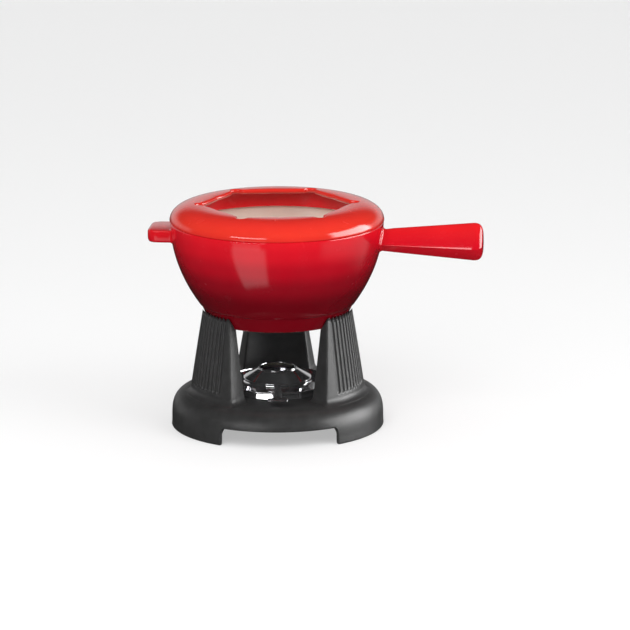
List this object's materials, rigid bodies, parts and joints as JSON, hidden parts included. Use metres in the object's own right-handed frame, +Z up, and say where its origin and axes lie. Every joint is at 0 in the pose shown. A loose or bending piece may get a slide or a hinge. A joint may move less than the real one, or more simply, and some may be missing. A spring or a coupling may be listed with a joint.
{
  "type": "fondue pot set",
  "caption": "Enamelled cast-iron fondue pot with long handle, lug and fork guard ring, on a three-legged stand with a covered fuel burner and regulating lever.",
  "frame": {"origin": "centre of the circle that the stand's feet rest on, below the pot's axis", "axes": "+X along the long handle to within 6 degrees, +Z up, -Y towards the burner's lever"},
  "size_m": [0.3309, 0.212, 0.2235],
  "materials": {
    "enamel_red": "glossy vitreous enamel, bright red shading darker downwards",
    "iron_black": "satin black enamel over fine casting texture",
    "burner_steel": "polished, mirror-like",
    "lever_steel": "polished with fine wear",
    "gauze_steel": "woven wire",
    "fuel_wick": "soft mineral fibre pad"
  },
  "bodies": {
    "stand": {"stand_base": "iron_black", "leg_rear": "iron_black", "leg_left": "iron_black", "leg_right": "iron_black"},
    "pot": {"pot_bowl": "enamel_red", "pot_handle": "enamel_red", "pot_lug": "enamel_red"},
    "ring": {"guard_ring": "enamel_red"},
    "burner": {"burner_tray": "burner_steel"},
    "cup": {"fuel_cup": "burner_steel", "fuel_pad": "fuel_wick", "wire_gauze": "gauze_steel", "gauze_clip": "lever_steel"},
    "collar": {"vent_collar": "burner_steel"},
    "cover": {"burner_cover": "burner_steel", "lever_arm": "lever_steel", "lever_grip": "lever_steel", "lever_rivets": "lever_steel"}
  },
  "joints": [
    {"name": "pot_lift", "type": "slide", "parent": "stand", "child": "pot", "axis": [0, 0, 1], "range_m": [0, 0.08]},
    {"name": "ring_lift", "type": "slide", "parent": "pot", "child": "ring", "axis": [0, 0, 1], "range_m": [0, 0.06]},
    {"name": "burner_lift", "type": "slide", "parent": "stand", "child": "burner", "axis": [0, 0, 1], "range_m": [0, 0.022]},
    {"name": "cup_lift", "type": "slide", "parent": "burner", "child": "cup", "axis": [0, 0, 1], "range_m": [0, 0.01]},
    {"name": "collar_lift", "type": "slide", "parent": "cup", "child": "collar", "axis": [0, 0, 1], "range_m": [0, 0.012]},
    {"name": "cover_turn", "type": "hinge", "parent": "collar", "child": "cover", "pos_m": [0, 0, 0.05], "axis": [0, 0, 1], "range_deg": [-16, 16]}
  ]
}
